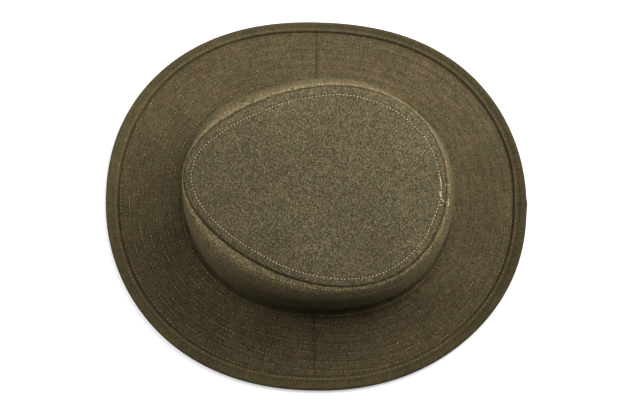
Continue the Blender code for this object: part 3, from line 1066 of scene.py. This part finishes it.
# The tack at the back, as short runs: the surface, then turns in degrees with mm in or down from the seam
backTack = [
    ("tip", [(-5.0, 1.8), (-4.5, 0.4)]), ("wall", [(-4.5, 0.4), (-3.7, 6.5)]),
    ("tip", [(-1.4, 4.3), (2.6, 4.3)]), ("tip", [(-9.0, 4.9), (-2.0, 3.9)]),
    ("tip", [(2.4, 3.6), (3.7, 2.0), (3.8, 0.4)]), ("wall", [(3.9, 0.4), (4.2, 3.6)]),
    ("tip", [(5.3, 4.1), (6.7, 1.9)]), ("wall", [(1.0, 3.0), (3.9, 3.6), (4.9, 4.6), (6.0, 3.4)]),
    ("tip", [(-1.2, 5.0), (1.6, 5.0)]),
]
brimStitch = {**tipStitch, "pitch": 2.85 * mm, "length": 2.30 * mm, "width": 0.56 * mm, "height": 0.45 * mm,
              "slantDeg": 6, "seed": 53}
underStitch = {**brimStitch, "sit": 0.05 * mm, "facing": -1, "seed": 54}
bindingStitch = {**brimStitch, "length": 1.7 * mm, "width": 0.5 * mm, "seed": 55}


def makeCrownStitches():
    row = bmesh.new()
    turns = np.linspace(0, 2 * math.pi, 1200)
    stitchRow(row, tipTop, turns, tipRow(turns), tipStitch)
    finishPiece("tipStitches", row, ochreThread)
    row = bmesh.new()
    stitchRow(row, wallTop, turns, turns * 0 + wallShape["stitchDrop"], wallStitch)
    finishPiece("wallStitches", row, wallThread)
    row = bmesh.new()
    surfaces = {"tip": tipTop, "wall": wallTop}
    for index, (place, run) in enumerate(backTack):
        degrees, distances = np.array(run).T
        along = np.linspace(0, 1, 60)
        steps = np.linspace(0, 1, len(run))
        turns = np.radians(np.interp(along, steps, degrees))
        drops = np.interp(along, steps, distances) * mm
        stitchRow(row, surfaces[place], turns, drops, {**tackStitch, "seed": tackSeed + index})
    finishPiece("backTackStitches", row, tackThread)


def makeBrimRows(name, surface, stitch):
    look = brimShape
    row = bmesh.new()
    path = np.radians(np.linspace(look["startDeg"], look["startDeg"] + 360 * look["turns"], 9000))
    lap = np.floor(path / (2 * math.pi)) - 1
    insets = look["firstRow"] + rowPitch(path) * (lap + rowStep(path))
    onBrim = insets < crownInset(path) - look["baseRow"] - look["baseMargin"]
    last = len(path) if onBrim.all() else np.argmin(onBrim)
    stitchRow(row, surface, path[:last], insets[:last], stitch)
    turns = np.linspace(0, 2 * math.pi, 1500)
    stitchRow(row, surface, turns, crownInset(turns) - look["baseRow"], stitch)
    finishPiece(name, row, tanThread)


def makeBindingStitches():
    row = bmesh.new()
    turns = np.linspace(0, 2 * math.pi, 1500)
    stitchRow(row, bindingTop, turns, bindingEdge(turns) - bindingShape["ridgeIn"], bindingStitch)
    finishPiece("bindingStitches", row, tanThread)


makeCrownStitches()
makeBrimRows("brimStitches", brimTop, brimStitch)
makeBrimRows("underStitches", brimUnder, underStitch)
makeBindingStitches()
bpy.data.meshes.remove(strand)
print("stitches made")

# Pale floor, soft lights
studioLook = {
    "floorSize": 6.0, "floorGap": 0.05 * mm, "floorColour": (0.70, 0.70, 0.70),
    "floorRoughness": 0.95, "floorSpecular": 0.1, "floorGlow": 0.44,
    "skyColour": (1.0, 1.0, 1.0), "skyStrength": 0.17,
}
# Lamps: turn and elevation in degrees, distance and size in metres, power in watts
studioLamps = [
    ("backLamp", 330, 45, 1.3, 0.7, 11.4),
    ("farLamp", 300, 50, 0.65, 0.45, 2.8),
    ("frontLamp", 200, 50, 1.1, 0.6, 6.3),
]


def addFloor(look):
    mesh = bmesh.new()
    bmesh.ops.create_grid(mesh, x_segments=4, y_segments=4, size=look["floorSize"] / 2)
    bmesh.ops.translate(mesh, verts=mesh.verts, vec=(0, 0, edgeLow.z - look["floorGap"]))
    floor = addObject("paleFloor", meshFrom("paleFloor", mesh))
    material, tree, shader = newMaterial("paleFloor")
    seen = addNode(tree, "ShaderNodeLightPath").outputs["Is Camera Ray"]
    feed(tree, shader, **{
        "Base Color": (*look["floorColour"], 1), "Roughness": look["floorRoughness"],
        "Specular IOR Level": look["floorSpecular"], "Emission Color": (1, 1, 1, 1),
        "Emission Strength": maths(tree, "MULTIPLY", seen, look["floorGlow"])})
    floor.data.materials.append(material)


def addLight(name, turnDeg, elevationDeg, distance, size, power):
    light = bpy.data.lights.new(name, "AREA")
    light.size = size
    light.energy = power
    lamp = addObject(name, light)
    turn, rise = math.radians(turnDeg), math.radians(elevationDeg)
    away = Vector((math.sin(turn) * math.cos(rise), math.cos(turn) * math.cos(rise), math.sin(rise)))
    lamp.location = away * distance
    lamp.rotation_euler = away.to_track_quat("Z", "Y").to_euler()


def addSky(look):
    world = bpy.data.worlds.new("studioSky")
    scene.world = world
    world.use_nodes = True
    sky = world.node_tree.nodes["Background"]
    sky.inputs["Color"].default_value = (*look["skyColour"], 1)
    sky.inputs["Strength"].default_value = look["skyStrength"]


addFloor(studioLook)
addSky(studioLook)
for lamp in studioLamps:
    addLight(*lamp)
scene.view_settings.view_transform = "Standard"
print("floor and lights made")
